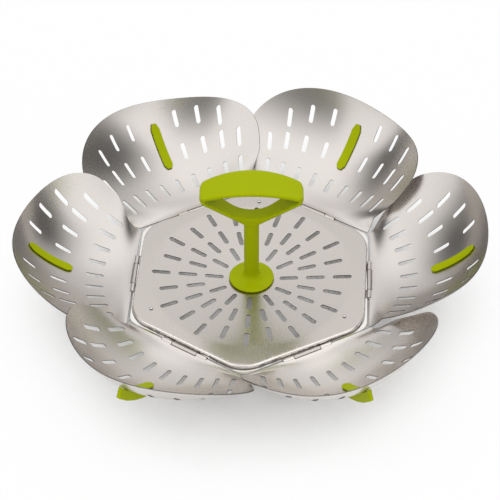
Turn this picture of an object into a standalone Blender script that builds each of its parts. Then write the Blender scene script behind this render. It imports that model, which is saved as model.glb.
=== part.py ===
"""Folding steamer basket: a slotted hexagonal plate, six hinged petals that overlap in a ring, a looped
handle on a stem, and three short legs. Metres, +Z up, the floor at z = 0 and the basket on the Z axis.
"""

import math

import bmesh
import bpy
from mathutils import Vector
from mathutils.geometry import delaunay_2d_cdt

# Counts
petal_count = 6
leg_count = 3

# Sheet metal and clearances
sheet = 0.0006
clearance = 0.0003
overrun = 0.002

# Hinges: the axis of each side, and the rolled knuckles on its pin
hinge_apothem = 0.0732
hinge_drop = 0.0025
knuckle_diameter = 0.003
pin_diameter = 0.0015
plate_knuckle_length = 0.0174
petal_knuckle_length = 0.0068
knuckle_gap = 0.0004
petal_edge = 0.0002
pin_chamfer = 0.0002

# Base plate: its level is that of the outer ring of slots
plate_level = 0.016
slot_ring_radius = 0.0565
plate_sag = 0.0041
plate_flat_radius = 0.063
plate_corner_radius = 0.009
panel_apothem = 0.0701
panel_corner_radius = 0.0195
panel_turn = math.radians(-1.0)
panel_step = 0.0011
flange_drop = 0.0021
plate_slot_length = 0.0118
plate_slot_width = 0.003
flat_ring_shares = (0.412, 0.705, 1.0)
between_ring_shares = (0.627, 0.927)
panel_step_shares = (0.0, 0.3, 0.7, 1.0)
petal_row_shares = (0.12, 0.26, 0.44, 0.72)
petal_row_place_shares = (-0.85, -0.6, -0.35, 0.0, 0.35, 0.6, 0.85)
fin_top_shares = (0.0, 0.2, 0.4, 0.6, 0.8, 1.0)

# Petal outline, measured from the hinge axis, and the petal's bowl, measured from the basket's axis
petal_root_half_width = 0.0428
petal_bend_half_width = 0.0508
petal_bend_length = 0.006
petal_ear_half_width = 0.0409
petal_ear_length = 0.0078
petal_flare_half_width = 0.0515
petal_flare_length = 0.0146
petal_half_width = 0.0622
petal_shift = 0.0054
petal_widest = 0.0246
petal_nose = 0.046
petal_corner_softness = 0.0035
bowl_start_radius = 0.0843
bowl_radius = 0.064
cup_reference = 0.050
cup_depth = 0.0126
cup_growth = 0.0028
cup_twist = 0.0036
cup_tilt = 0.001
cup_ramp = 0.0073
growth_length = 0.040
steepest_bowl_share = 0.97

# Petal slots: rows along the bowl's profile, as shares of the petal's length, and angles about the Z axis
petal_slot_length = 0.0115
petal_slot_width = 0.0028
inner_row_share = 0.354
middle_row_share = 0.684
outer_row_share = 1.007
inner_row_bow = 0.00005
middle_row_bow = 0.00058
outer_row_bow = 0.00189
slot_middle_angle = math.radians(2.06)
inner_row_angles = tuple(math.radians(angle) for angle in (0.0, 6.62, 13.04, 19.04, 24.80))
middle_row_angles = tuple(math.radians(angle) for angle in (6.91, 13.41, 19.26, 24.79))
outer_row_angles = tuple(math.radians(angle) for angle in (7.02, 13.29, 19.39))

# Petal feet: a strip inside the petal, placed as the rows of slots are, a neck through it, a fin outside it
foot_side = 0.0039
strip_start_share = 0.554
strip_end_share = 1.035
strip_width = 0.006
strip_thickness = 0.0011
neck_margin = 0.004
neck_end_play = 0.0026
fin_thickness = 0.0026
fin_reach = 0.0069
fin_heel = 0.0053
fin_heel_start = 0.0025
fin_overhang = 0.0033

# Handle: heights are above the plate's level
handle_turn = math.radians(3.1)
loop_top = 0.0765
loop_side = 0.067
loop_half_width = 0.0344
loop_side_radius = 0.0039
loop_corner_radius = 0.0036
loop_wall = 0.0028
loop_depth = 0.0227
loop_side_depth = 0.0153
loop_mouth_radius = 0.0225
stem_top = 0.0456
stem_diameter = 0.0093
stem_fillet = 0.004
disc_diameter = 0.0284
disc_thickness = 0.0022
disc_edge = 0.0008
boss_diameter = 0.009
boss_reach = 0.0012
loop_edge_radius = 0.0011

# Screw and washer under the handle
screw_diameter = 0.004
screw_length = 0.011
screw_head_diameter = 0.0075
screw_head_height = 0.0018
screw_head_chamfer = 0.0006
screw_slot_width = 0.001
screw_slot_depth = 0.0008
washer_diameter = 0.018
washer_thickness = 0.001

# Legs and their rivets
leg_radius = 0.068
leg_diameter = 0.010
leg_foot_diameter = 0.012
leg_edge = 0.001
rivet_diameter = 0.0014
rivet_head_diameter = 0.0024
rivet_head_height = 0.0004
rivet_reach = 0.008

# Fineness
arc_steps = 3
corner_steps = 4
tube_sides = 12
turned_sides = 28
outline_steps = 14
side_stations = 10
foot_steps = 8
strip_steps = 9
neck_steps = 8
fin_steps = 4
loop_steps = 14
bevel_segments = 2
sharp_angle = math.radians(35)
bevel_angle = math.radians(50)
weld_share = 0.01

rim_setback = petal_edge + sheet + clearance
rim_apothem = hinge_apothem - rim_setback
bore_diameter = pin_diameter + 2 * clearance
knuckle_wall_middle = (knuckle_diameter + bore_diameter) / 4
pin_length = plate_knuckle_length + 2 * knuckle_gap + 2 * petal_knuckle_length
foot_slot_width = fin_thickness + 2 * clearance
petal_length = petal_widest + petal_nose
strip_start = strip_start_share * petal_length
strip_end = strip_end_share * petal_length
weld_distance = weld_share * sheet


def clear_scene():
    for obj in list(bpy.data.objects):
        bpy.data.objects.remove(obj)


def make_material(name, color, roughness, metallic):
    material = bpy.data.materials.new(name)
    material.use_nodes = True
    shader = material.node_tree.nodes["Principled BSDF"]
    shader.inputs["Base Color"].default_value = (*color, 1)
    shader.inputs["Roughness"].default_value = roughness
    shader.inputs["Metallic"].default_value = metallic
    return material


def place(name, mesh, material, location, turn=0.0, parent=None):
    """Adds an object, standing at a location and turned about Z, in its parent's frame if it has one."""
    obj = bpy.data.objects.new(name, mesh)
    bpy.context.scene.collection.objects.link(obj)
    obj.location = location
    obj.rotation_euler.z = turn
    obj.parent = parent
    mesh.materials.clear()
    mesh.materials.append(material)
    mesh.shade_smooth()
    mesh.set_sharp_from_angle(angle=sharp_angle)
    return obj


def helper(name, mesh):
    obj = bpy.data.objects.new(name, mesh)
    bpy.context.scene.collection.objects.link(obj)
    obj.hide_render = True
    obj.display_type = "WIRE"
    return obj


def combined(name, mesh, steps):
    """The mesh after a list of Booleans, each an operation and the other mesh."""
    base = helper(name, mesh)
    others = []
    for operation, other_mesh in steps:
        other = helper(name + "_" + operation.lower(), other_mesh)
        cut = base.modifiers.new(operation.title(), "BOOLEAN")
        cut.operation = operation
        cut.solver = "EXACT"
        cut.object = other
        others.append(other)
    return finished_mesh(name, base, others)


def finished_mesh(name, base, others=()):
    """The base object's mesh with its modifiers in it. The base and its helpers are removed."""
    bpy.context.view_layer.update()
    graph = bpy.context.evaluated_depsgraph_get()
    mesh = bpy.data.meshes.new_from_object(base.evaluated_get(graph))
    mesh.name = name
    for obj in (base, *others):
        bpy.data.objects.remove(obj)
    return mesh


def mesh_of(name, points, faces):
    mesh = bpy.data.meshes.new(name)
    mesh.from_pydata(points, [], faces)
    shape = bmesh.new()
    shape.from_mesh(mesh)
    bmesh.ops.recalc_face_normals(shape, faces=shape.faces)
    shape.to_mesh(mesh)
    shape.free()
    return mesh


def turned_mesh(name, profile, sides=turned_sides):
    """A solid turned about Z from its profile of (radius, height), which starts and ends on the axis."""
    points = []
    faces = []
    for side in range(sides):
        angle = math.tau * side / sides
        points += [(*polar(radius, angle), height) for radius, height in profile[1:-1]]
    rings = len(profile) - 2
    points += [(0, 0, profile[0][1]), (0, 0, profile[-1][1])]
    bottom = sides * rings
    for side in range(sides):
        here = side * rings
        there = (side + 1) % sides * rings
        faces.append((bottom, there, here))
        faces.append((here + rings - 1, there + rings - 1, bottom + 1))
        faces += [(here + ring, there + ring, there + ring + 1, here + ring + 1) for ring in range(rings - 1)]
    return mesh_of(name, points, faces)


def tube_mesh(name, diameter, start, end, sides=tube_sides, chamfer=0.0, bore=0.0):
    """A bar, or a tube where it has a bore, along Y from start to end."""
    rings = [(diameter / 2 - chamfer, start), (diameter / 2, start + chamfer), (diameter / 2, end - chamfer)]
    rings.append((diameter / 2 - chamfer, end))
    if not chamfer:
        rings = [rings[0], rings[-1]]
    if bore:
        rings += [(bore / 2, end), (bore / 2, start)]
    points = []
    for radius, along in rings:
        points += [(x, along, z) for x, z in circle(radius, 0, 0, sides)]
    faces = []
    last = len(rings) if bore else len(rings) - 1
    for ring in range(last):
        here = ring * sides
        there = (ring + 1) % len(rings) * sides
        faces += [(here + s, here + (s + 1) % sides, there + (s + 1) % sides, there + s) for s in range(sides)]
    if not bore:
        faces.append(tuple(range(sides)))
        faces.append(tuple(range(len(points) - sides, len(points))))
    return mesh_of(name, points, faces)


def slot_outline(length, width, side_steps=1):
    """A slot with round ends about the origin, its length along X, with its long sides in equal steps."""
    straight = (length - width) / 2
    outline = []
    for end, direction in ((0, 1), (1, -1)):
        for step in range(arc_steps + 1):
            angle = math.pi * (end - 0.5 + step / arc_steps)
            x, y = polar(width / 2, angle)
            outline.append((direction * straight + x, y))
        for step in range(1, side_steps):
            outline.append((direction * straight * (1 - 2 * step / side_steps), direction * width / 2))
    return outline


def circle(radius, x, y, sides):
    angles = [math.tau * side / sides for side in range(sides)]
    return [(x + radius * math.cos(angle), y + radius * math.sin(angle)) for angle in angles]


def polar(radius, angle):
    return (radius * math.cos(angle), radius * math.sin(angle))


def blank(name, outline, holes, height, inner_points=(), inner_loops=()):
    """A sheet blank: a flat outline with holes, lifted to a height and thickened about that surface."""
    coords = [Vector(point) for point in outline]
    faces = [list(range(len(coords)))]
    edges = []
    for loop in holes:
        faces.append(list(range(len(coords), len(coords) + len(loop))))
        coords += [Vector(point) for point in loop]
    for loop in inner_loops:
        start = len(coords)
        edges += [(start + i, start + (i + 1) % len(loop)) for i in range(len(loop))]
        coords += [Vector(point) for point in loop]
    coords += [Vector(point) for point in inner_points]
    points, _, triangles, _, _, origins = delaunay_2d_cdt(coords, edges, faces, 0, weld_distance)
    kept = [triangle for triangle, origin in zip(triangles, origins) if list(origin) == [0]]
    used = sorted({index for triangle in kept for index in triangle})
    number = {index: place_in for place_in, index in enumerate(used)}
    lifted = [(points[index].x, points[index].y, height(points[index].x, points[index].y)) for index in used]
    mesh = bpy.data.meshes.new(name)
    mesh.from_pydata(lifted, [], [[number[index] for index in triangle] for triangle in kept])
    flat = helper(name, mesh)
    thick = flat.modifiers.new("Sheet", "SOLIDIFY")
    thick.thickness = sheet
    thick.offset = 0
    thick.use_even_offset = True
    return finished_mesh(name, flat)


def side_direction(side):
    angle = math.tau * side / petal_count
    return Vector((math.cos(angle), math.sin(angle)))


def hexagon_level(x, y, apothem, corner_radius):
    """The apothem of the rounded hexagon through a point, one of a nest about the hexagon that is given."""
    inner = apothem - corner_radius
    side = round(math.atan2(y, x) / (math.tau / petal_count))
    out = side_direction(side)
    along = Vector((-out.y, out.x))
    across = Vector((x, y)).dot(out)
    past_side = abs(Vector((x, y)).dot(along)) - inner * math.tan(math.pi / petal_count)
    if across <= inner and past_side <= 0:
        return across
    return inner + math.hypot(max(across - inner, 0), max(past_side, 0))


def hexagon_loop(level, apothem, corner_radius, turn=0.0):
    """One rounded hexagon of such a nest, anticlockwise, starting at the corner before side 0."""
    inner = apothem - corner_radius
    corner = inner / math.cos(math.pi / petal_count)
    loop = []
    for side in range(petal_count):
        middle = math.tau * (side - 0.5) / petal_count
        centre = polar(corner, middle)
        for step in range(corner_steps + 1):
            angle = middle + math.tau / petal_count * (step / corner_steps - 0.5)
            reach = polar(level - inner, angle)
            loop.append(rotated(centre[0] + reach[0], centre[1] + reach[1], turn))
    return loop


def cone_height(radius):
    """The plate's shallow cone, which runs out flat near its rim."""
    return -plate_sag * (1 - min(radius, plate_flat_radius) / slot_ring_radius)


def plate_height(x, y):
    """The plate's middle surface: its panel's cone, and a step down to the flange that carries the hinges."""
    cone = cone_height(math.hypot(x, y))
    level = hexagon_level(*rotated(x, y, -panel_turn), panel_apothem, panel_corner_radius)
    share = min(max((level - panel_apothem) / panel_step, 0), 1)
    return cone - (cone + flange_drop) * (1 - math.cos(math.pi * share)) / 2


def plate_outline():
    """The flange's edge, with a seat for the plate's knuckle and notches for the petal's on every side."""
    corners = hexagon_loop(rim_apothem, rim_apothem, plate_corner_radius)
    per_corner = corner_steps + 1
    seat = plate_knuckle_length / 2 - clearance
    notch_start = plate_knuckle_length / 2
    notch_end = pin_length / 2 + knuckle_gap
    notch = hinge_apothem - knuckle_diameter / 2 - knuckle_gap
    steps = [(rim_apothem, -notch_end), (notch, -notch_end), (notch, -notch_start)]
    steps.append((hinge_apothem - knuckle_wall_middle, -seat))
    steps += [(apothem, -offset) for apothem, offset in reversed(steps)]
    outline = []
    for side in range(petal_count):
        outline += corners[side * per_corner:(side + 1) * per_corner]
        out = side_direction(side)
        along = Vector((-out.y, out.x))
        outline += [tuple(out * apothem + along * offset) for apothem, offset in steps]
    return outline


def plate_slots():
    slots = []
    shape = slot_outline(plate_slot_length, plate_slot_width)
    half_step = math.tau / petal_count / 4
    for step in range(4 * petal_count):
        shares = between_ring_shares if step % 2 else flat_ring_shares
        for share in shares:
            slots.append([rotated(x + share * slot_ring_radius, y, step * half_step) for x, y in shape])
    return slots


def rotated(x, y, angle):
    return (x * math.cos(angle) - y * math.sin(angle), x * math.sin(angle) + y * math.cos(angle))


def leg_angle(leg):
    return math.tau * leg / leg_count + math.pi / 2 + panel_turn


def make_plate(material):
    holes = plate_slots()
    holes.append(circle(boss_diameter / 2 + clearance, 0, 0, turned_sides // 2))
    for leg in range(leg_count):
        centre = polar(leg_radius, leg_angle(leg))
        holes.append(circle(rivet_diameter / 2 + clearance, *centre, turned_sides // 2))
    levels = [panel_apothem + panel_step * share for share in panel_step_shares]
    loops = [hexagon_loop(level, panel_apothem, panel_corner_radius, panel_turn) for level in levels]
    mesh = blank("base_plate", plate_outline(), holes, plate_height, inner_loops=loops)
    unions = []
    for side in range(petal_count):
        half = plate_knuckle_length / 2
        knuckle = tube_mesh("knuckle", knuckle_diameter, -half, half, bore=bore_diameter)
        turn_onto_side(knuckle, side, -hinge_drop)
        unions.append(("UNION", knuckle))
    mesh = combined("base_plate", mesh, unions)
    return place("base_plate", mesh, material, (0, 0, plate_level))


def turn_onto_side(mesh, side, height):
    """Moves a mesh made about the Y axis onto the hinge axis of one side of the plate."""
    for vertex in mesh.vertices:
        x, y = rotated(vertex.co.x + hinge_apothem, vertex.co.y, math.tau * side / petal_count)
        vertex.co = (x, y, vertex.co.z + height)


def petal_height(x, y):
    """The petal's middle surface above its hinge axis, x out from that axis and y along it: a round bowl about
    the Z axis, cupped across, with its first edge raised over the neighbour and its second one lowered."""
    radius = math.hypot(x + hinge_apothem, y)
    lean = min(max((radius - bowl_start_radius) / bowl_radius, 0), steepest_bowl_share)
    height = bowl_radius * (1 - math.sqrt(1 - lean * lean))
    across = y / cup_reference
    growth = x / growth_length
    ramp = 1 - math.exp(-(max(x, 0) / cup_ramp) ** 2)
    height += (cup_growth * growth + cup_depth * ramp) * across ** 2
    return height - cup_twist * ramp * across ** 3 - cup_tilt * growth * across


def soft_least(first, second, softness):
    return (first + second - math.sqrt((first - second) ** 2 + softness ** 2)) / 2


def side_line(x, start, end):
    """The half width at x on the straight line between two places given as (x, half width)."""
    return start[1] + (end[1] - start[1]) * (x - start[0]) / (end[0] - start[0])


def petal_side(x, direction):
    """How far the petal reaches along its hinge direction at a distance x from the hinge axis. The lifted side,
    at -y, goes straight out past the plate's corner before it flares, so that it clears its neighbour as they
    fold."""
    widest = (petal_widest, petal_half_width + direction * petal_shift)
    if direction > 0:
        bend = (petal_bend_length, petal_bend_half_width)
        straight = min(side_line(x, (0, petal_root_half_width), bend), side_line(x, bend, widest))
    else:
        flare = (petal_flare_length, petal_flare_half_width)
        inner = side_line(x, (petal_ear_length, petal_ear_half_width), flare)
        straight = min(max(petal_ear_half_width, inner), side_line(x, flare, widest))
    if x >= petal_widest + petal_nose:
        return direction * petal_shift
    past = (x - petal_widest) / petal_nose
    rounded = petal_half_width * math.sqrt(1 - past * past) + direction * petal_shift
    return soft_least(straight, rounded, petal_corner_softness)


def petal_outline():
    """Anticlockwise from the hinge end: the side at +y, the nose, the side at -y, then the hinge edge."""
    run = petal_widest - petal_edge
    stations = [petal_edge + run * step / side_stations for step in range(side_stations)]
    for step in range(outline_steps):
        stations.append(petal_widest + petal_nose * math.sin(math.pi / 2 * step / outline_steps))
    tip = (petal_widest + petal_nose, petal_shift)
    first_side = [(x, -petal_side(x, -1)) for x in stations]
    second_side = [(x, petal_side(x, 1)) for x in reversed(stations)]
    return first_side + [tip] + second_side + petal_hinge_edge()


def petal_hinge_edge():
    """The edge along the hinge, from +y to -y: it ends in the petal's knuckles and clears the plate's one."""
    end = pin_length / 2
    notch = plate_knuckle_length / 2 + knuckle_gap
    past_knuckle = knuckle_diameter / 2 + knuckle_gap
    half = [(petal_edge, end + knuckle_gap), (knuckle_wall_middle, end + knuckle_gap)]
    half += [(knuckle_wall_middle, notch), (past_knuckle, notch)]
    return half + [(x, -y) for x, y in reversed(half)]


def bowl_distance(along):
    """The distance from the basket's axis of a point this far along the bowl's profile from the hinge axis."""
    flat = bowl_start_radius - hinge_apothem
    if along <= flat:
        return hinge_apothem + along
    return bowl_start_radius + bowl_radius * math.sin((along - flat) / bowl_radius)


def bowl_reach(along):
    """The same from the hinge axis."""
    return bowl_distance(along) - hinge_apothem


def petal_slot(along, angle):
    """A slot that points at the basket's axis, as an outline in the petal's own plane."""
    outline = []
    for x, y in slot_outline(petal_slot_length, petal_slot_width):
        radius = bowl_distance(along + x)
        around = slot_middle_angle + angle + y / radius
        outline.append((radius * math.cos(around) - hinge_apothem, radius * math.sin(around)))
    return outline


def petal_slots():
    slots = []
    for place_in, angle in enumerate(inner_row_angles):
        for direction in (-1, 1) if place_in else (1,):
            along = inner_row_share * petal_length - inner_row_bow * place_in ** 2
            slots.append(petal_slot(along, direction * angle))
    middle_row = (middle_row_share, middle_row_bow, middle_row_angles)
    outer_row = (outer_row_share, outer_row_bow, outer_row_angles)
    for row_share, bow, angles in (middle_row, outer_row):
        for place_in, angle in enumerate(angles):
            along = row_share * petal_length - bow * (place_in + 0.5) ** 2
            slots += [petal_slot(along, direction * angle) for direction in (-1, 1)]
    return slots


def foot_outline(start, end, width):
    """A round-ended outline in the foot's plane, from one place along the bowl's profile to another."""
    first = bowl_reach(start)
    last = bowl_reach(end)
    middle = (first + last) / 2
    return [(middle + x, foot_side + y) for x, y in slot_outline(last - first, width, foot_steps)]


def petal_inner_points():
    """Points that let the sheet follow its bends: close rows by the hinge, then a coarse grid."""
    points = []
    for row_share in petal_row_shares:
        x = petal_widest * row_share
        reach = petal_side(x, 1)
        points += [(x, reach * share) for share in petal_row_place_shares]
    points += foot_outline(strip_start - strip_width / 2, strip_end + strip_width / 2, 2 * strip_width)
    return points


def petal_mesh():
    neck_start = strip_start + neck_margin
    neck_end = strip_end - neck_margin
    holes = petal_slots()
    holes.append(foot_outline(neck_start - neck_end_play, neck_end + neck_end_play, foot_slot_width))
    mesh = blank("petal", petal_outline(), holes, petal_height, inner_points=petal_inner_points())
    unions = []
    start = plate_knuckle_length / 2 + knuckle_gap
    for near in (start, -start - petal_knuckle_length):
        far = near + petal_knuckle_length
        knuckle = tube_mesh("knuckle", knuckle_diameter, near, far, bore=bore_diameter)
        unions.append(("UNION", knuckle))
    return combined("petal", mesh, unions)


def foot_line(x, drop):
    """A point in the foot's plane, below the petal's middle surface by the drop measured square to it."""
    step = sheet
    rise = petal_height(x + step, foot_side) - petal_height(x - step, foot_side)
    slope = math.atan2(rise, 2 * step)
    return (x + drop * math.sin(slope), petal_height(x, foot_side) - drop * math.cos(slope))


def extruded(name, outline, low, high):
    """A flat outline of (x, z) given thickness along Y."""
    count = len(outline)
    points = [(x, low, z) for x, z in outline] + [(x, high, z) for x, z in outline]
    faces = [tuple(range(count)), tuple(range(count, 2 * count))]
    faces += [(i, (i + 1) % count, count + (i + 1) % count, count + i) for i in range(count)]
    return mesh_of(name, points, faces)


def strip_mesh():
    """The strip that lies inside the petal, its round-ended outline raised over the petal's surface."""
    outline = foot_outline(strip_start, strip_end, strip_width)
    first = bowl_reach(strip_start) + strip_width / 2
    last = bowl_reach(strip_end) - strip_width / 2
    flat = bpy.data.meshes.new("strip")
    coords = [Vector(point) for point in outline]
    inner = [first + (last - first) * step / strip_steps for step in range(strip_steps + 1)]
    coords += [Vector((x, foot_side + side * strip_width / 2)) for x in inner[1:-1] for side in (-1, 1)]
    coords += [Vector((x, foot_side)) for x in inner]
    sides = list(range(len(outline)))
    points, _, triangles, _, _, _ = delaunay_2d_cdt(coords, [], [sides], 1, weld_distance)
    flat.from_pydata([(p.x, p.y, petal_height(p.x, p.y)) for p in points], [], triangles)
    obj = helper("strip", flat)
    thick = obj.modifiers.new("Strip", "SOLIDIFY")
    thick.thickness = strip_thickness
    thick.offset = 1
    raise_strip = obj.modifiers.new("Raise", "DISPLACE")
    raise_strip.strength = sheet / 2 + clearance
    raise_strip.mid_level = 0
    obj.modifiers.move(1, 0)
    return finished_mesh("strip", obj)


def fin_mesh():
    """The fin outside the petal and its neck through the petal's slot, in one flat outline."""
    first = bowl_reach(strip_start)
    last = bowl_reach(strip_end)
    overhang = bowl_reach(strip_end + fin_overhang)
    neck_first = bowl_reach(strip_start + neck_margin)
    neck_last = bowl_reach(strip_end - neck_margin)
    inside = -(sheet / 2 + clearance + strip_thickness / 2)
    outside = sheet / 2 + clearance
    stations = [neck_first + (neck_last - neck_first) * step / neck_steps for step in range(neck_steps + 1)]
    outline = [foot_line(x, inside) for x in stations]
    outline += [foot_line(neck_last + (overhang - neck_last) * share, outside) for share in fin_top_shares]
    heel = first + fin_heel_start
    for step in range(fin_steps + 1):
        share = step / fin_steps
        outline.append(foot_line(last + (heel - last) * share, fin_reach + (fin_heel - fin_reach) * share))
    outline += [foot_line(first, outside), foot_line(neck_first, outside)]
    low = foot_side - fin_thickness / 2
    return extruded("fin", outline, low, low + fin_thickness)


def foot_mesh():
    return combined("petal_foot", strip_mesh(), [("UNION", fin_mesh())])


def make_petals(metal, green, pin_metal):
    petal = petal_mesh()
    foot = foot_mesh()
    half = pin_length / 2
    pin = tube_mesh("hinge_pin", pin_diameter, -half, half, chamfer=pin_chamfer)
    for side in range(petal_count):
        turn = math.tau * side / petal_count
        location = (*polar(hinge_apothem, turn), plate_level - hinge_drop)
        place(f"hinge_pin_{side + 1}", pin, pin_metal, location, turn)
        hinged = place(f"petal_{side + 1}", petal, metal, location, turn)
        place(f"petal_foot_{side + 1}", foot, green, (0, 0, 0), parent=hinged)


def rounded_corner(corner, before, after, radius, steps):
    """Points of the arc that rounds a corner between two straight stretches."""
    to_before = (Vector(before) - Vector(corner)).normalized()
    to_after = (Vector(after) - Vector(corner)).normalized()
    half = to_before.angle(to_after) / 2
    centre = Vector(corner) + (to_before + to_after).normalized() * radius / math.sin(half)
    start = Vector(corner) + to_before * radius / math.tan(half) - centre
    end = Vector(corner) + to_after * radius / math.tan(half) - centre
    sweep = start.angle_signed(end)
    return [tuple(centre + turned(start, -sweep * step / steps)) for step in range(steps + 1)]


def turned(vector, angle):
    return Vector(rotated(vector.x, vector.y, angle))


def loop_ring(inset, bottom_radius):
    """One outline of the handle's loop in (x, z), anticlockwise from the right: its arch, then its V below.
    The half width and the side height are those of the outer outline's corners, before they are rounded."""
    rise = loop_top - loop_side
    arch_radius = (loop_half_width ** 2 + rise ** 2) / (2 * rise)
    arch_lean = math.asin(loop_half_width / arch_radius)
    slope = (loop_side - stem_top) / (loop_half_width - stem_diameter / 2)
    bottom = stem_top - stem_diameter / 2 * slope + inset * math.hypot(1, slope)
    half_corner = (arch_lean + math.atan(slope)) / 2
    half_width = loop_half_width - inset / math.sin(half_corner)
    reach = math.asin(half_width / (arch_radius - inset))
    centre = loop_top - arch_radius
    angles = [reach * (1 - 2 * step / loop_steps) for step in range(loop_steps + 1)]
    inner = arch_radius - inset
    arch = [(inner * math.sin(angle), centre + inner * math.cos(angle)) for angle in angles]
    side_radius = max(loop_side_radius - inset, loop_edge_radius)
    ring = rounded_corner(arch[0], (0, bottom), arch[1], side_radius, loop_steps // 2)
    ring += arch[2:-2]
    ring += rounded_corner(arch[-1], arch[-2], (0, bottom), side_radius, loop_steps // 2)
    ring += rounded_corner((0, bottom), arch[-1], arch[0], bottom_radius, loop_steps)
    return ring


def loop_reach(x, z, end):
    """Half the loop's depth: most at the crown, less at its rounded ends, and down the V to the stem's."""
    arch = loop_depth - (loop_depth - loop_side_depth) * (x / loop_half_width) ** 2
    past = min(max(abs(x) - end + loop_corner_radius, 0), loop_corner_radius)
    arch -= 2 * (loop_corner_radius - math.sqrt(loop_corner_radius ** 2 - past ** 2))
    share = min((z - stem_top) / (loop_side - stem_top), 1)
    return (stem_diameter + (arch - stem_diameter) * max(share, 0) ** 2) / 2


def loop_mesh():
    """The loop: walls along its outer and inner outlines, and a face on each side between them."""
    outer = loop_ring(0, stem_diameter / 2)
    inner = loop_ring(loop_wall, loop_mouth_radius)
    end = max(x for x, z in outer)
    count = len(outer)
    points = []
    for ring in (outer, inner):
        points += [(x, -loop_reach(x, z, end), z) for x, z in ring]
        points += [(x, loop_reach(x, z, end), z) for x, z in ring]
    faces = []
    for first, second in ((0, 1), (3, 2), (2, 0), (1, 3)):
        here = first * count
        there = second * count
        faces += [(here + i, here + (i + 1) % count, there + (i + 1) % count, there + i) for i in range(count)]
    flat = helper("loop", mesh_of("loop", points, faces))
    soft = flat.modifiers.new("Edges", "BEVEL")
    soft.width = loop_edge_radius
    soft.segments = bevel_segments
    soft.limit_method = "ANGLE"
    soft.angle_limit = bevel_angle
    return finished_mesh("loop", flat)


def disc_seat(radius):
    """The height, from the plate's level, of the underside of a piece that sits on the plate's cone."""
    return cone_height(radius) + sheet / 2 + clearance


def handle_mesh():
    boss = boss_diameter / 2
    disc = disc_diameter / 2
    stem = stem_diameter / 2
    boss_end = disc_seat(0) - sheet - 2 * clearance - boss_reach
    rim = disc_seat(disc)
    inside = disc - disc_edge
    profile = [(0, boss_end), (boss, boss_end), (boss, disc_seat(boss)), (inside, disc_seat(inside))]
    profile += [(disc, rim + disc_edge), (inside, rim + 2 * disc_edge)]
    crown = disc_seat(0) + disc_thickness + disc_edge
    for step in range(arc_steps + 1):
        angle = math.pi / 2 * step / arc_steps
        out = stem + stem_fillet * (1 - math.sin(angle))
        profile.append((out, crown + stem_fillet * (1 - math.cos(angle))))
    profile += [(stem, stem_top), (0, stem_top + stem_diameter / 2)]
    body = turned_mesh("handle", profile)
    bore_top = boss_end + washer_thickness + screw_length
    bore_bottom = boss_end - overrun
    bore = screw_diameter / 2 + clearance
    section = [(0, bore_bottom), (bore, bore_bottom), (bore, bore_top), (0, bore_top + bore)]
    hole = turned_mesh("screw_hole", section)
    return combined("handle", body, [("UNION", loop_mesh()), ("DIFFERENCE", hole)])


def washer_mesh(top):
    outer = washer_diameter / 2
    bottom = top - washer_thickness
    bore = screw_diameter / 2 + clearance
    body = turned_mesh("handle_washer", [(0, bottom), (outer, bottom), (outer, top), (0, top)])
    low = bottom - overrun
    high = top + overrun
    hole = turned_mesh("washer_hole", [(0, low), (bore, low), (bore, high), (0, high)])
    return combined("handle_washer", body, [("DIFFERENCE", hole)])


def screw_mesh(seat):
    """A slotted screw that points up, its head's flat top against the seat."""
    head = screw_head_diameter / 2
    shank = screw_diameter / 2
    low = seat - screw_head_height
    profile = [(0, low), (head - screw_head_chamfer, low), (head, low + screw_head_chamfer), (head, seat)]
    profile += [(shank, seat), (shank, seat + screw_length - shank / 2), (shank / 2, seat + screw_length)]
    profile.append((0, seat + screw_length))
    body = turned_mesh("handle_screw", profile, turned_sides // 2)
    half = screw_slot_width / 2
    bottom = low - overrun
    top = low + screw_slot_depth
    section = [(-half, bottom), (half, bottom), (half, top), (-half, top)]
    slot = extruded("slot", section, -head - overrun, head + overrun)
    return combined("handle_screw", body, [("DIFFERENCE", slot)])


def make_handle(green, metal):
    here = (0, 0, plate_level)
    place("handle", handle_mesh(), green, here, handle_turn)
    boss_end = disc_seat(0) - sheet - 2 * clearance - boss_reach
    washer_top = boss_end - clearance
    place("handle_washer", washer_mesh(washer_top), metal, here)
    place("handle_screw", screw_mesh(washer_top - washer_thickness - clearance), metal, here)


def leg_mesh(height):
    """A leg from the floor to its top, with a blind bore for its rivet."""
    foot = leg_foot_diameter / 2
    top = leg_diameter / 2
    profile = [(0, 0), (foot - leg_edge, 0), (foot, leg_edge), (top, height), (0, height)]
    body = turned_mesh("leg", profile, turned_sides)
    bore = rivet_diameter / 2 + clearance
    low = height + clearance + sheet / 2 - rivet_reach - clearance
    high = height + overrun
    hole = turned_mesh("rivet_hole", [(0, low), (bore, low), (bore, high), (0, high)], turned_sides // 2)
    return combined("leg", body, [("DIFFERENCE", hole)])


def rivet_mesh():
    """A rivet about its plate's middle surface: a low domed head above it and a shank below."""
    head = rivet_head_diameter / 2
    shank = rivet_diameter / 2
    seat = sheet / 2 + clearance + head * plate_sag / slot_ring_radius
    profile = [(0, -rivet_reach), (shank, -rivet_reach), (shank, seat), (head, seat)]
    for step in range(arc_steps):
        angle = math.pi / 2 * (step + 1) / (arc_steps + 1)
        profile.append((head * math.cos(angle), seat + rivet_head_height * math.sin(angle)))
    profile.append((0, seat + rivet_head_height))
    return turned_mesh("leg_rivet", profile, turned_sides // 2)


def make_legs(green, metal):
    inner_height = cone_height(leg_radius - leg_diameter / 2)
    leg = leg_mesh(plate_level + inner_height - sheet / 2 - clearance)
    rivet = rivet_mesh()
    for index in range(leg_count):
        x, y = polar(leg_radius, leg_angle(index))
        place(f"leg_{index + 1}", leg, green, (x, y, 0))
        place(f"leg_rivet_{index + 1}", rivet, metal, (x, y, plate_level + cone_height(leg_radius)))


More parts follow.
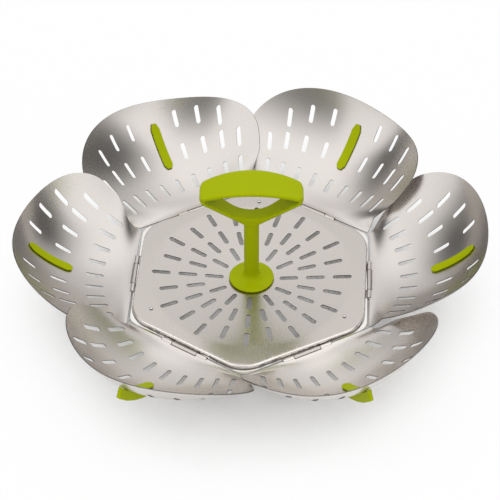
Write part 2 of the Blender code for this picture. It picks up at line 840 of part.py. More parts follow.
def main():
    clear_scene()
    plate_steel = make_material("plate_steel", (0.62, 0.60, 0.57), 0.35, 1.0)
    petal_steel = make_material("petal_steel", (0.66, 0.65, 0.63), 0.28, 1.0)
    fastener_steel = make_material("fastener_steel", (0.55, 0.54, 0.52), 0.3, 1.0)
    green = make_material("green_plastic", (0.40, 0.50, 0.01), 0.45, 0.0)
    make_plate(plate_steel)
    make_petals(petal_steel, green, fastener_steel)
    make_handle(green, fastener_steel)
    make_legs(green, fastener_steel)


main()
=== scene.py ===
# %% [markdown]
# # A folding steamer basket
# A slotted hexagonal plate carries six hinged petals of thin stainless sheet, a green plastic handle on
# a stem, and three short legs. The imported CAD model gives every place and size. This lesson dresses it:
# smoother sheet metal with a satin grain, a softly moulded handle, and the plain white studio that such
# a product is shown in.

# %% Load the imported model
import math

import bmesh
import bpy
from mathutils import Matrix, Quaternion, Vector


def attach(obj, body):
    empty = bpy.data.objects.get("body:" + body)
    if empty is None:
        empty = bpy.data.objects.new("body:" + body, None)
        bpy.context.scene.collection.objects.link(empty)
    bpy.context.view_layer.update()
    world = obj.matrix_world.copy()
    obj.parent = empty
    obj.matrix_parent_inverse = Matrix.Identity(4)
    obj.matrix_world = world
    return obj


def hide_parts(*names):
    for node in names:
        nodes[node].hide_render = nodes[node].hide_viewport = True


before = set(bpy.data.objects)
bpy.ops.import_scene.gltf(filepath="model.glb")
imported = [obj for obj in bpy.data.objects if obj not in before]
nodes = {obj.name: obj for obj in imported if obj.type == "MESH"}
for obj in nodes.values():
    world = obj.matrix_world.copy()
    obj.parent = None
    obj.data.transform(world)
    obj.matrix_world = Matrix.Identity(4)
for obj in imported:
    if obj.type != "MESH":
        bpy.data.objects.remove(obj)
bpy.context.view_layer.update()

# %% [markdown]
# ## The camera
# The camera was fitted to the slots of the plate and the edges of the petals: it looks down at 43
# degrees with a long lens, a little from the right, and it is rolled by just over a degree. Blender's
# camera looks along its own -Z axis, so `to_track_quat` aims it and a turn about Z rolls it.

# %% Camera
camera_place = Vector((0.0547, -0.7648, 0.7516))
camera_target = Vector((-0.0022, 0.0225, 0.016))
camera_roll = -0.0232
focal_length = 122.76
sensor_width = 36
nearest_view = 0.01


def add_camera():
    lens = bpy.data.cameras.new("camera")
    lens.lens = focal_length
    lens.sensor_width = sensor_width
    lens.clip_start = nearest_view
    camera = bpy.data.objects.new("camera", lens)
    bpy.context.scene.collection.objects.link(camera)
    aim = (camera_target - camera_place).to_track_quat("-Z", "Y")
    camera.location = camera_place
    camera.rotation_mode = "QUATERNION"
    camera.rotation_quaternion = aim @ Quaternion((0, 0, 1), camera_roll)
    bpy.context.scene.camera = camera


add_camera()
print("camera distance:", round((camera_target - camera_place).length, 3), "m")

# %% [markdown]
# ## The studio
# Steel has hardly any colour of its own: it shows what stands around it. The floor is white. It mixes a
# glow into its white, for the camera and for reflections alike, so that it stays white and still takes
# the basket's shadow. An Ambient Occlusion node measures how open each place of the floor is, up to
# `shade_reach` away. The glow is whole above `clear_openness` and gone below `dark_openness`, where the
# basket stands close over the floor.

# %% Floor
floor_size = 6.0
floor_glow_share = 0.95
floor_color = (0.9, 0.9, 0.9, 1)
shade_reach = 0.08
shade_samples = 4
dark_openness = 0.26
clear_openness = 0.63


def node_in(tree, kind, **values):
    """Adds a shader node and sets its attributes and inputs by name."""
    node = tree.nodes.new(kind)
    for name, value in values.items():
        if hasattr(node, name):
            setattr(node, name, value)
        else:
            node.inputs[name.replace("_", " ")].default_value = value
    return node


def blank_material(name):
    material = bpy.data.materials.new(name)
    material.use_nodes = True
    material.node_tree.nodes.clear()
    return material, material.node_tree


def floor_material():
    """White, with a glow that the camera, reflections and glass see, but that lights nothing."""
    material, tree = blank_material("white_floor")
    white = node_in(tree, "ShaderNodeBsdfDiffuse", Color=floor_color)
    glow = node_in(tree, "ShaderNodeEmission", Color=(1, 1, 1, 1), Strength=1.0)
    light_path = node_in(tree, "ShaderNodeLightPath")
    seen = node_in(tree, "ShaderNodeMath", operation="MAXIMUM")
    seen_too = node_in(tree, "ShaderNodeMath", operation="MAXIMUM")
    share = node_in(tree, "ShaderNodeMath", operation="MULTIPLY")
    openness = node_in(tree, "ShaderNodeAmbientOcclusion", samples=shade_samples, Distance=shade_reach)
    fade = node_in(tree, "ShaderNodeMapRange", interpolation_type="SMOOTHSTEP")
    fade.inputs["From Min"].default_value = dark_openness
    fade.inputs["From Max"].default_value = clear_openness
    fade.inputs["To Max"].default_value = floor_glow_share
    mixed = node_in(tree, "ShaderNodeMixShader")
    output = node_in(tree, "ShaderNodeOutputMaterial")
    link = tree.links.new
    link(light_path.outputs["Is Camera Ray"], seen.inputs[0])
    link(light_path.outputs["Is Glossy Ray"], seen.inputs[1])
    link(seen.outputs[0], seen_too.inputs[0])
    link(light_path.outputs["Is Transmission Ray"], seen_too.inputs[1])
    link(openness.outputs["AO"], fade.inputs["Value"])
    link(seen_too.outputs[0], share.inputs[0])
    link(fade.outputs[0], share.inputs[1])
    link(share.outputs[0], mixed.inputs[0])
    link(white.outputs[0], mixed.inputs[1])
    link(glow.outputs[0], mixed.inputs[2])
    link(mixed.outputs[0], output.inputs["Surface"])
    return material


def object_from(name, shape, material=None):
    """Turns a bmesh into a linked object at the origin, smooth shaded."""
    mesh = bpy.data.meshes.new(name)
    for face in shape.faces:
        face.smooth = True
    shape.to_mesh(mesh)
    shape.free()
    piece = bpy.data.objects.new(name, mesh)
    bpy.context.scene.collection.objects.link(piece)
    if material:
        mesh.materials.append(material)
    return piece


shape = bmesh.new()
bmesh.ops.create_grid(shape, x_segments=1, y_segments=1, size=floor_size / 2)
floor = object_from("floor", shape, floor_material())
print("floor:", floor_size, "m wide")

# %% [markdown]
# A product studio is a ring of large soft things: a ceiling of light, two tall soft boxes in front, one
# to each side of the camera, a paler backdrop behind, and dark gaps between them. The steel's bright
# and dark bands are pictures of these. A radial gradient turns the direction into an angle round the
# horizon, and a colour ramp gives each angle its light. The angles run anticlockwise from +X, so the
# camera stands near -90 degrees. A second ramp fades that ring into the ceiling with height. This
# lights the scene by itself, without the noise of many lamps.

# %% Light from all round
ceiling_level = 1.22
ring_levels = (
    (-180, 1.15), (-123, 1.15), (-119, 0.35), (-110, 0.28), (-90, 0.22), (-72, 0.40), (-58, 0.80),
    (-50, 1.20), (-12, 1.25), (-7, 0.40), (2, 0.20), (8, 0.08), (30, 0.08), (38, 0.40), (50, 0.66),
    (75, 0.74), (105, 0.80), (122, 0.70), (137, 0.15), (150, 0.08), (171, 0.08), (175, 0.60), (180, 1.10),
)
ceiling_start = 0.42
ceiling_end = 1.0
studio_strength = 1.1


def ramp_in(tree, stops, interpolation):
    """A colour ramp of grey levels from (position, level) stops."""
    ramp = node_in(tree, "ShaderNodeValToRGB")
    ramp.color_ramp.interpolation = interpolation
    for index, (place, level) in enumerate(stops):
        stop = ramp.color_ramp.elements[index] if index < 2 else ramp.color_ramp.elements.new(place)
        stop.position = place
        stop.color = (level, level, level, 1)
    return ramp


def add_world():
    world = bpy.data.worlds.new("studio")
    bpy.context.scene.world = world
    world.use_nodes = True
    tree = world.node_tree
    tree.nodes.clear()
    link = tree.links.new
    direction = node_in(tree, "ShaderNodeTexCoord")
    split = node_in(tree, "ShaderNodeSeparateXYZ")
    round_horizon = node_in(tree, "ShaderNodeTexGradient", gradient_type="RADIAL")
    ring = ramp_in(tree, [(degrees / 360 + 0.5, level) for degrees, level in ring_levels], "LINEAR")
    upward = ramp_in(tree, [(ceiling_start, 0), (ceiling_end, 1)], "EASE")
    both = node_in(tree, "ShaderNodeMix", data_type="RGBA")
    both.inputs["B"].default_value = (ceiling_level, ceiling_level, ceiling_level, 1)
    glow = node_in(tree, "ShaderNodeBackground", Strength=studio_strength)
    output = node_in(tree, "ShaderNodeOutputWorld")
    link(direction.outputs["Generated"], split.inputs[0])
    link(direction.outputs["Generated"], round_horizon.inputs[0])
    link(round_horizon.outputs["Fac"], ring.inputs[0])
    link(split.outputs["Z"], upward.inputs[0])
    link(upward.outputs[0], both.inputs["Factor"])
    link(ring.outputs[0], both.inputs["A"])
    link(both.outputs["Result"], glow.inputs[0])
    link(glow.outputs[0], output.inputs["Surface"])


add_world()
bpy.context.scene.view_settings.view_transform = "Standard"
print("light levels round the horizon:", len(ring_levels))

# %% [markdown]
# ## Finishes
# Satin stainless sheet has a fine grain that runs one way, and broad faint clouds where the rolling and
# polishing varied. Both effects are used by several steels, so they are one node group with its own
# inputs. The noise is stretched along the grain by scaling its coordinates unevenly.

# %% Grain group
grain_stretch = (2200, 70, 1500)
cloud_scale = 26.0
grain_shading = 0.7


def new_group(name, inputs, outputs):
    """A shader node group with its sockets, and its two end nodes."""
    group = bpy.data.node_groups.new(name, "ShaderNodeTree")
    for label, kind, value in inputs:
        socket = group.interface.new_socket(label, in_out="INPUT", socket_type=kind)
        if value is not None:
            socket.default_value = value
    for label, kind in outputs:
        group.interface.new_socket(label, in_out="OUTPUT", socket_type=kind)
    return group, group.nodes.new("NodeGroupInput"), group.nodes.new("NodeGroupOutput")


def grain_group():
    """Streaks along Y and clouds: a colour, a roughness and a height that change over the surface."""
    inputs = (("Vector", "NodeSocketVector", None), ("Color", "NodeSocketColor", (0.6, 0.6, 0.6, 1)),
              ("Roughness", "NodeSocketFloat", 0.3), ("Streaks", "NodeSocketFloat", 0.1),
              ("Clouds", "NodeSocketFloat", 0.1))
    outputs = (("Color", "NodeSocketColor"), ("Roughness", "NodeSocketFloat"), ("Height", "NodeSocketFloat"))
    group, given, made = new_group("satin_grain", inputs, outputs)
    link = group.links.new
    stretch = node_in(group, "ShaderNodeMapping")
    stretch.inputs["Scale"].default_value = grain_stretch
    streaks = node_in(group, "ShaderNodeTexNoise", Scale=1.0, Detail=3.0)
    clouds = node_in(group, "ShaderNodeTexNoise", Scale=cloud_scale, Detail=2.0)
    link(given.outputs["Vector"], stretch.inputs["Vector"])
    link(stretch.outputs[0], streaks.inputs["Vector"])
    link(given.outputs["Vector"], clouds.inputs["Vector"])
    parts = []
    for noise, label in ((streaks, "Streaks"), (clouds, "Clouds")):
        centred = node_in(group, "ShaderNodeMath", operation="SUBTRACT")
        centred.inputs[1].default_value = 0.5
        scaled = node_in(group, "ShaderNodeMath", operation="MULTIPLY")
        link(noise.outputs[0], centred.inputs[0])
        link(centred.outputs[0], scaled.inputs[0])
        link(given.outputs[label], scaled.inputs[1])
        parts.append(scaled)
    both = node_in(group, "ShaderNodeMath", operation="ADD")
    link(parts[0].outputs[0], both.inputs[0])
    link(parts[1].outputs[0], both.inputs[1])
    rough = node_in(group, "ShaderNodeMath", operation="ADD", use_clamp=True)
    link(given.outputs["Roughness"], rough.inputs[0])
    link(both.outputs[0], rough.inputs[1])
    shade = node_in(group, "ShaderNodeMath", operation="MULTIPLY_ADD")
    shade.inputs[1].default_value = -grain_shading
    shade.inputs[2].default_value = 1.0
    tint = node_in(group, "ShaderNodeVectorMath", operation="SCALE")
    link(both.outputs[0], shade.inputs[0])
    link(given.outputs["Color"], tint.inputs[0])
    link(shade.outputs[0], tint.inputs["Scale"])
    link(tint.outputs[0], made.inputs["Color"])
    link(rough.outputs[0], made.inputs["Roughness"])
    link(streaks.outputs[0], made.inputs["Height"])
    return group


satin_grain = grain_group()
print("group:", satin_grain.name)

# %% [markdown]
# Each petal is turned to its own side of the plate, and its grain turns with it. A Mapping node does
# that, so every petal has a steel of its own. The grain is a weak bump as well, and a second, broad
# bump gives the petals the faint waves of pressed sheet, which bend what the steel reflects. The
# plate's flange and the roll of its step are a brighter steel, a painted highlight, and the sheared
# edges of the sheets and the step's foot are a darker one, painted shade: on the real basket these
# narrow places show as fine bright and dark lines of light and shade.

# %% Steel
grain_depth = 0.0002
swell_scale = 34.0
swell_depth = 0.0004


def steel(name, color, roughness, streaks=0.04, clouds=0.03, grain_turn=0.0, bump=0.002, waves=0.0):
    """A satin steel. Its grain runs along Y, turned round Z by grain_turn."""
    material, tree = blank_material(name)
    link = tree.links.new
    place = node_in(tree, "ShaderNodeTexCoord")
    turn = node_in(tree, "ShaderNodeMapping")
    turn.inputs["Rotation"].default_value = (0, 0, -grain_turn)
    grain = node_in(tree, "ShaderNodeGroup", node_tree=satin_grain)
    grain.inputs["Color"].default_value = (*color, 1)
    grain.inputs["Roughness"].default_value = roughness
    grain.inputs["Streaks"].default_value = streaks
    grain.inputs["Clouds"].default_value = clouds
    relief = node_in(tree, "ShaderNodeBump", Strength=bump, Distance=grain_depth)
    swell = node_in(tree, "ShaderNodeTexNoise", Scale=swell_scale, Detail=1.0)
    wavy = node_in(tree, "ShaderNodeBump", Strength=waves, Distance=swell_depth)
    metal = node_in(tree, "ShaderNodeBsdfPrincipled", Metallic=1.0)
    output = node_in(tree, "ShaderNodeOutputMaterial")
    link(place.outputs["Object"], turn.inputs["Vector"])
    link(turn.outputs[0], grain.inputs["Vector"])
    link(grain.outputs["Color"], metal.inputs["Base Color"])
    link(grain.outputs["Roughness"], metal.inputs["Roughness"])
    link(place.outputs["Object"], swell.inputs["Vector"])
    link(swell.outputs[0], wavy.inputs["Height"])
    link(wavy.outputs[0], relief.inputs["Normal"])
    link(grain.outputs["Height"], relief.inputs["Height"])
    link(relief.outputs[0], metal.inputs["Normal"])
    link(metal.outputs[0], output.inputs["Surface"])
    return material


plate_color = (0.56, 0.522, 0.492)
# The bright steel is a painted highlight, on the plate's flange and on the roll above its step.
painted_highlight_color = (0.82, 0.79, 0.76)
# The dark steel is painted shade: on the sheets' sheared edges and at the foot of the plate's step.
painted_shade_color = (0.2, 0.19, 0.18)
fastener_color = (0.62, 0.59, 0.56)
plate_steel = steel("plate_satin_steel", plate_color, roughness=0.27, bump=0.001)
painted_highlight_steel = steel("painted_highlight_satin_steel", painted_highlight_color, roughness=0.2)
painted_shade_steel = steel("painted_shade_satin_steel", painted_shade_color, roughness=0.4)
fastener_steel = steel("fastener_steel", fastener_color, roughness=0.2)
for finish in (plate_steel, painted_highlight_steel, painted_shade_steel, fastener_steel):
    print("steel:", finish.name)

# %% [markdown]
# The handle, the feet and the legs are one lime green plastic. Its surface is satin, with the very fine
# leather that a spark-eroded mould leaves, and its colour and its shine vary a little from patch to
# patch. A low specular level keeps its deep colour where a brighter gloss would wash it out.

# %% Plastic
lime_green = (0.39, 0.46, 0.0)
leather_scale = 2600.0
leather_strength = 0.08
leather_depth = 0.0001
patch_scale = 60.0
patch_spread = 0.05
plastic_ior = 1.47
plastic_specular = 0.06


def moulded_plastic(name, color, roughness):
    """A satin plastic with a fine relief, and broad patches in its colour and its roughness."""
    material, tree = blank_material(name)
    link = tree.links.new
    place = node_in(tree, "ShaderNodeTexCoord")
    fine = node_in(tree, "ShaderNodeTexNoise", Scale=leather_scale, Detail=2.0)
    broad = node_in(tree, "ShaderNodeTexNoise", Scale=patch_scale, Detail=2.0)
    rough = node_in(tree, "ShaderNodeMapRange")
    rough.inputs["To Min"].default_value = roughness - patch_spread
    rough.inputs["To Max"].default_value = roughness + patch_spread
    shade = node_in(tree, "ShaderNodeMapRange")
    shade.inputs["To Min"].default_value = 1 - patch_spread
    shade.inputs["To Max"].default_value = 1 + patch_spread
    tint = node_in(tree, "ShaderNodeVectorMath", operation="SCALE")
    tint.inputs[0].default_value = color
    relief = node_in(tree, "ShaderNodeBump", Strength=leather_strength, Distance=leather_depth)
    plastic = node_in(tree, "ShaderNodeBsdfPrincipled")
    plastic.inputs["IOR"].default_value = plastic_ior
    plastic.inputs["Specular IOR Level"].default_value = plastic_specular
    output = node_in(tree, "ShaderNodeOutputMaterial")
    for noise in (fine, broad):
        link(place.outputs["Object"], noise.inputs["Vector"])
    link(broad.outputs[0], rough.inputs["Value"])
    link(broad.outputs[0], shade.inputs["Value"])
    link(shade.outputs[0], tint.inputs["Scale"])
    link(tint.outputs[0], plastic.inputs["Base Color"])
    link(rough.outputs[0], plastic.inputs["Roughness"])
    link(fine.outputs[0], relief.inputs["Height"])
    link(relief.outputs[0], plastic.inputs["Normal"])
    link(plastic.outputs[0], output.inputs["Surface"])
    return material


green = moulded_plastic("lime_green_plastic", lime_green, roughness=0.42)
print("plastic:", green.name)

# %% [markdown]
# ## Sheet metal
# A pressed sheet starts as a flat blank with its holes punched in it. The blank is made the same way:
# its outline and holes are filled in one go, then the fill is sliced on a grid, because a sheet can
# only bend where it has points. Each point is lifted to the height of the pressed shape, and Solidify
# gives the sheet its thickness.

# %% Sheet helpers
sheet = 0.0006
arc_steps = 8
side_points = 3
merge_distance = 0.00008


def polar(radius, angle):
    return (radius * math.cos(angle), radius * math.sin(angle))


def turned(x, y, angle):
    return (x * math.cos(angle) - y * math.sin(angle), x * math.sin(angle) + y * math.cos(angle))


def slot_outline(length, width):
    """A slot with round ends about the origin, along X, with points along its straight sides too."""
    straight = (length - width) / 2
    outline = []
    for end, direction in ((0, 1), (1, -1)):
        for step in range(arc_steps + 1):
            angle = math.pi * (end - 0.5 + step / arc_steps)
            outline.append((direction * straight + width / 2 * math.cos(angle), width / 2 * math.sin(angle)))
        for step in range(1, side_points + 1):
            along = direction * straight * (1 - 2 * step / (side_points + 1))
            outline.append((along, direction * width / 2))
    return outline


def circle(radius, x, y, sides=24):
    return [(x + radius * math.cos(math.tau * s / sides), y + radius * math.sin(math.tau * s / sides))
            for s in range(sides)]


def punched_blank(outline, holes):
    """A flat bmesh of the outline with its holes, with as few edges inside as it can have."""
    shape = bmesh.new()
    edges = []
    for loop in (outline, *holes):
        points = [shape.verts.new((x, y, 0)) for x, y in loop]
        edges += [shape.edges.new(pair) for pair in zip(points, points[1:] + points[:1])]
    bmesh.ops.triangle_fill(shape, edges=edges, normal=(0, 0, 1))
    bmesh.ops.dissolve_limit(shape, angle_limit=math.radians(1), verts=[], edges=shape.edges[:])
    return shape


def sliced(shape, spacing):
    """Slices a flat bmesh on a square grid."""
    xs = [vert.co.x for vert in shape.verts]
    ys = [vert.co.y for vert in shape.verts]
    for low, high, axis in ((min(xs), max(xs), Vector((1, 0, 0))), (min(ys), max(ys), Vector((0, 1, 0)))):
        for step in range(1, int((high - low) / spacing) + 1):
            everything = shape.verts[:] + shape.edges[:] + shape.faces[:]
            place = axis * (low + spacing * step)
            bmesh.ops.bisect_plane(shape, geom=everything, plane_co=place, plane_no=axis)
    bmesh.ops.remove_doubles(shape, verts=shape.verts[:], dist=merge_distance)


def pressed(shape, height):
    """Lifts each point of a flat bmesh to the height of the pressed shape there."""
    for vert in shape.verts:
        vert.co.z = height(vert.co.x, vert.co.y)


def applied(piece):
    """Bakes a piece's modifiers into its mesh."""
    bpy.context.view_layer.update()
    graph = bpy.context.evaluated_depsgraph_get()
    mesh = bpy.data.meshes.new_from_object(piece.evaluated_get(graph))
    piece.modifiers.clear()
    old = piece.data
    piece.data = mesh
    bpy.data.meshes.remove(old)


def smooth_by_angle(piece, degrees=35):
    piece.data.shade_smooth()
    piece.data.set_sharp_from_angle(angle=math.radians(degrees))


def thickened(piece):
    """Gives a piece its sheet thickness. Its sheared edges take the material after the sheet's own, which on
    the petals and round the plate's slots is the dark steel of painted shade.
    """
    solid = piece.modifiers.new("Sheet", "SOLIDIFY")
    solid.thickness = sheet
    solid.offset = 0
    solid.material_offset_rim = 1
    applied(piece)
    smooth_by_angle(piece)


print("sheet:", sheet * 1000, "mm")

# %% [markdown]
# ## The petals
# Each petal is a shallow bowl that turns up at its nose, cupped across, with one edge lifted so that it
# laps over its neighbour. The formulas are those of the CAD part, so the smooth petal lies exactly
# where the CAD one does. Only the petal's root differs: a lip of 0.7 mm brings it level with the
# plate's flange, as on the real basket.

# %% Petal shape
petal_count = 6
plate_level = 0.016
hinge_apothem = 0.0732
hinge_drop = 0.0025
petal_edge = 0.00035
root_lip = 0.0007
root_lip_length = 0.0025
petal_root_half_width = 0.0428
petal_bend_half_width = 0.0508
petal_bend_length = 0.006
petal_ear_half_width = 0.0409
petal_ear_length = 0.0078
petal_flare_half_width = 0.0515
petal_flare_length = 0.0146
petal_half_width = 0.0622
petal_shift = 0.0054
petal_widest = 0.0246
petal_nose = 0.046
petal_corner_softness = 0.0035
bowl_start_radius = 0.0843
bowl_radius = 0.064
cup_reference = 0.050
cup_depth = 0.0126
cup_growth = 0.0028
cup_twist = 0.0036
cup_tilt = 0.001
cup_ramp = 0.0073
growth_length = 0.040
steepest_bowl_share = 0.97


def petal_height(x, y):
    radius = math.hypot(x + hinge_apothem, y)
    lean = min(max((radius - bowl_start_radius) / bowl_radius, 0), steepest_bowl_share)
    height = bowl_radius * (1 - math.sqrt(1 - lean * lean))
    across = y / cup_reference
    growth = x / growth_length
    ramp = 1 - math.exp(-(max(x, 0) / cup_ramp) ** 2)
    height += (cup_growth * growth + cup_depth * ramp) * across ** 2
    height += root_lip * math.exp(-(max(x, 0) / root_lip_length) ** 2)
    return height - cup_twist * ramp * across ** 3 - cup_tilt * growth * across


def side_line(x, start, end):
    return start[1] + (end[1] - start[1]) * (x - start[0]) / (end[0] - start[0])


def petal_side(x, direction):
    """The half width at x. The lifted side, at -y, stays by the plate's corner before it flares."""
    widest = (petal_widest, petal_half_width + direction * petal_shift)
    if direction > 0:
        bend = (petal_bend_length, petal_bend_half_width)
        straight = min(side_line(x, (0, petal_root_half_width), bend), side_line(x, bend, widest))
    else:
        flare = (petal_flare_length, petal_flare_half_width)
        inner = side_line(x, (petal_ear_length, petal_ear_half_width), flare)
        straight = min(max(petal_ear_half_width, inner), side_line(x, flare, widest))
    if x >= petal_widest + petal_nose:
        return direction * petal_shift
    past = (x - petal_widest) / petal_nose
    rounded = petal_half_width * math.sqrt(1 - past * past) + direction * petal_shift
    return (straight + rounded - math.hypot(straight - rounded, petal_corner_softness)) / 2


nose_height = petal_height(petal_widest + petal_nose, petal_shift)
print("the nose stands", round(nose_height * 1000, 1), "mm above the hinge")


# %% [markdown]
# The petal's slots stand in three rows that fan out from the basket's axis, and a longer slot takes the
# neck of the green foot.

# %% Petal slots
petal_slot_length = 0.0115
petal_slot_width = 0.0028
slot_middle_angle = math.radians(2.06)
slot_rows = (
    (0.025, 0.00005, (0.0, 6.62, 13.04, 19.04, 24.80)),
    (0.0483, 0.00058, (6.91, 13.41, 19.26, 24.79)),
    (0.0711, 0.00189, (7.02, 13.29, 19.39)),
)
foot_side = 0.0039
foot_slot_start = 0.0405
foot_slot_end = 0.0717
foot_slot_width = 0.0032


def bowl_distance(along):
    flat = bowl_start_radius - hinge_apothem
    if along <= flat:
        return hinge_apothem + along
    return bowl_start_radius + bowl_radius * math.sin((along - flat) / bowl_radius)


def petal_slot(along, angle):
    outline = []
    for x, y in slot_outline(petal_slot_length, petal_slot_width):
        radius = bowl_distance(along + x)
        x, y = polar(radius, slot_middle_angle + angle + y / radius)
        outline.append((x - hinge_apothem, y))
    return outline


def petal_slots():
    slots = []
    for row, bow, degrees in slot_rows:
        for index, angle in enumerate(degrees):
            offset = index if degrees[0] == 0 else index + 0.5
            for direction in (-1, 1) if angle else (1,):
                slots.append(petal_slot(row - bow * offset ** 2, direction * math.radians(angle)))
    first = bowl_distance(foot_slot_start) - hinge_apothem
    last = bowl_distance(foot_slot_end) - hinge_apothem
    middle = (first + last) / 2
    slots.append([(middle + x, foot_side + y) for x, y in slot_outline(last - first, foot_slot_width)])
    return slots


print("slots in a petal:", len(petal_slots()))

# %% [markdown]
# The blank's outline runs up one side to the nose and down the other, and then back along the hinge,
# where it steps in for the plate's knuckle and out for the petal's own two.

# %% Petal blank
knuckle_diameter = 0.003
bore_diameter = 0.0021
plate_knuckle_length = 0.0174
petal_knuckle_length = 0.0068
knuckle_gap = 0.0004
knuckle_wall_middle = (knuckle_diameter + bore_diameter) / 4
petal_knuckle_start = plate_knuckle_length / 2 + knuckle_gap
knuckles_end = petal_knuckle_start + petal_knuckle_length
side_steps = 20
nose_steps = 56
petal_slice = 0.0015


def petal_outline():
    quarter = math.pi / 2
    stations = [petal_edge + (petal_widest - petal_edge) * step / side_steps for step in range(side_steps)]
    stations += [petal_widest + petal_nose * math.sin(quarter * step / nose_steps)
                 for step in range(nose_steps)]
    first_side = [(x, -petal_side(x, -1)) for x in stations]
    second_side = [(x, petal_side(x, 1)) for x in reversed(stations)]
    start = petal_knuckle_start
    end = knuckles_end + knuckle_gap
    past = knuckle_diameter / 2 + knuckle_gap
    hinge = [(petal_edge, end), (knuckle_wall_middle, end), (knuckle_wall_middle, start), (past, start)]
    hinge += [(x, -y) for x, y in reversed(hinge)]
    return first_side + [(petal_widest + petal_nose, petal_shift)] + second_side + hinge


shape = punched_blank(petal_outline(), petal_slots())
sliced(shape, petal_slice)
pressed(shape, petal_height)
petal_master = object_from("petal_master", shape, plate_steel)
# The sheared edges take the dark steel: painted shade.
petal_master.data.materials.append(painted_shade_steel)
thickened(petal_master)
print("petal:", len(petal_master.data.vertices), "points")

# %% [markdown]
# The hinge knuckles are rolled tubes. A spin of a small rectangle round the hinge axis makes one.

# %% Knuckles
knuckle_steps = 32


def tube(shape, start, end):
    """Spins a tube along Y round the local hinge axis into a bmesh."""
    inner, outer = bore_diameter / 2, knuckle_diameter / 2
    corners = ((inner, start), (outer, start), (outer, end), (inner, end))
    points = [shape.verts.new((radius, along, 0)) for radius, along in corners]
    edges = [shape.edges.new(pair) for pair in zip(points, points[1:] + points[:1])]
    bmesh.ops.spin(shape, geom=points + edges, cent=(0, 0, 0), axis=(0, 1, 0), dvec=(0, 0, 0), angle=math.tau,
                   steps=knuckle_steps, use_merge=True)


def knuckle_piece(spans):
    shape = bmesh.new()
    for start, end in spans:
        tube(shape, start, end)
    bmesh.ops.recalc_face_normals(shape, faces=shape.faces[:])
    piece = object_from("knuckles", shape)
    smooth_by_angle(piece)
    return piece


petal_knuckles = knuckle_piece(((petal_knuckle_start, knuckles_end), (-knuckles_end, -petal_knuckle_start)))
plate_knuckle = knuckle_piece(((-plate_knuckle_length / 2, plate_knuckle_length / 2),))
print("a plate's knuckle:", len(plate_knuckle.data.polygons), "faces")

# %% [markdown]
# The six petals are copies of one master, each moved out to its hinge and turned to its side of the
# plate. A copy is joined with its knuckles into one mesh, because on the real basket they are rolled
# from the same sheet. No two petals face the light alike, and the two front ones catch less of it, so
# each steel gets a brightness of its own, which is painted light: the two front ones are made brighter.

# %% Petals
petal_color = (0.63, 0.595, 0.565)
# Painted light: each petal's steel is brightened by its own factor, most on the two front petals.
petal_painted_light = (0.98, 0.98, 0.98, 0.98, 1.08, 1.18)


def merged(name, meshes, material):
    """One object from copies of several meshes, each with the matrix that places it."""
    shape = bmesh.new()
    for mesh, place in meshes:
        before = len(shape.verts)
        shape.from_mesh(mesh)
        shape.verts.ensure_lookup_table()
        bmesh.ops.transform(shape, matrix=place, verts=shape.verts[before:])
    piece = object_from(name, shape, material)
    smooth_by_angle(piece)
    return piece


def side_place(side):
    """The matrix from a hinge's own frame to the basket's, for one side of the plate."""
    turn = Matrix.Rotation(math.tau * side / petal_count, 4, "Z")
    return turn @ Matrix.Translation((hinge_apothem, 0, plate_level - hinge_drop))


for side, painted_light in enumerate(petal_painted_light):
    place = side_place(side)
    color = [painted_light * share for share in petal_color]
    finish = steel(f"petal_satin_steel_painted_light_{side + 1}", color, roughness=0.28, streaks=0.05, clouds=0.05,
                   grain_turn=math.tau * side / petal_count, bump=0.001, waves=0.5)
    meshes = [(petal_master.data, place), (petal_knuckles.data, place)]
    petal = merged(f"smooth_petal_{side + 1}", meshes, finish)
    # The sheared edges keep the dark steel of painted shade.
    petal.data.materials.append(painted_shade_steel)
    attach(petal, f"petal_{side + 1}_body")
    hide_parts(f"petal_{side + 1}")
print("petals:", petal_count)

# %% [markdown]
# ## The base plate
# The plate is a raised panel, slightly dished towards its middle, with a step down to a narrow flange
# that carries the hinges. The panel's outline is a rounded hexagon, and its level at a point is the
# apothem of the like hexagon that runs through the point. A share counts across the step, from 0 at its
# top to 1 at its foot: up to `roll_share` the edge rolls over gently, and then it falls steeply. A fine
# crease lies at its foot, where the real basket shows a dark line of shade.

# %% Plate shape
slot_ring_radius = 0.0565
plate_sag = 0.0041
plate_flat_radius = 0.063
panel_apothem = 0.0701
panel_corner_radius = 0.0195
panel_turn = math.radians(-1.0)
panel_step = 0.0011
roll_share = 0.45
roll_drop_share = 0.16
crease_depth = 0.0004
crease_reach = 0.3
flange_drop = 0.0021


def side_direction(side):
    return Vector(polar(1, math.tau * side / petal_count))


def hexagon_level(x, y):
    """The apothem of the panel's rounded hexagon that runs through a point, before the panel is turned."""
    inner = panel_apothem - panel_corner_radius
    out = side_direction(round(math.atan2(y, x) / (math.tau / petal_count)))
    across = Vector((x, y)).dot(out)
    past_side = abs(Vector((x, y)).dot(Vector((-out.y, out.x)))) - inner * math.tan(math.pi / petal_count)
    if across <= inner and past_side <= 0:
        return across
    return inner + math.hypot(max(across - inner, 0), max(past_side, 0))


def panel_level(x, y):
    return hexagon_level(*turned(x, y, -panel_turn))


def cone_height(radius):
    """The dish of the panel: a shallow cone that ends just past the outer ring of slots."""
    return -plate_sag * (1 - min(radius, plate_flat_radius) / slot_ring_radius)


def step_drop(share):
    """The share of the step's drop that lies above a share of its width."""
    roll = min(share / roll_share, 1)
    fall = max((share - roll_share) / (1 - roll_share), 0)
    return roll_drop_share * roll ** 2 + (1 - roll_drop_share) * (1 - math.cos(math.pi * fall)) / 2


def plate_height(x, y):
    cone = cone_height(math.hypot(x, y))
    share = max((panel_level(x, y) - panel_apothem) / panel_step, 0)
    crease = crease_depth * max(1 - abs(share - 1) / crease_reach, 0)
    return cone - (cone + flange_drop) * step_drop(min(share, 1)) - crease


